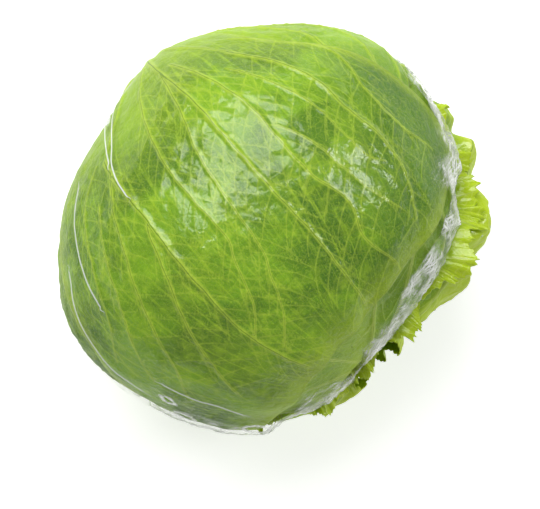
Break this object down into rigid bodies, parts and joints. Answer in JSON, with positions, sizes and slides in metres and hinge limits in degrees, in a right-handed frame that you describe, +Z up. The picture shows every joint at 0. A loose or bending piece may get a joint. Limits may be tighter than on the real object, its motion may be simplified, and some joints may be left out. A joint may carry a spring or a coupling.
{
  "type": "head of lettuce",
  "caption": "Crisphead lettuce lying on its side: dense heart, cut stem, ribbed wrapper leaves with a frilled margin, wrapped in thin clear vented film.",
  "frame": {"origin": "on the surface it lies on, under the middle of its box", "axes": "+Z up from the surface. The cut stem points to -X, +Y and a little down, and the crown the other way. The big frill is at +X."},
  "size_m": [0.1696, 0.163, 0.1378],
  "materials": {
    "heart": "pale yellow-green, crisp and softly glossy",
    "stem": "cut pith, cream with a tan rim",
    "outer_leaf": "mid-green leaf with pale ribs, waxy and bumpy",
    "inner_leaf": "light green leaf with pale ribs",
    "frill": "yellow-green leaf with a frilled margin and pale veins",
    "film": "thin clear film, white where it is gathered"
  },
  "bodies": {
    "root": {"heart": "heart", "cut_stem": "stem", "top_leaf": "outer_leaf", "under_leaf": "outer_leaf", "back_leaf": "inner_leaf", "frill_leaf": "frill", "far_leaf": "inner_leaf", "left_leaf": "outer_leaf", "near_leaf": "outer_leaf", "film_wrap": "film"}
  },
  "joints": []
}
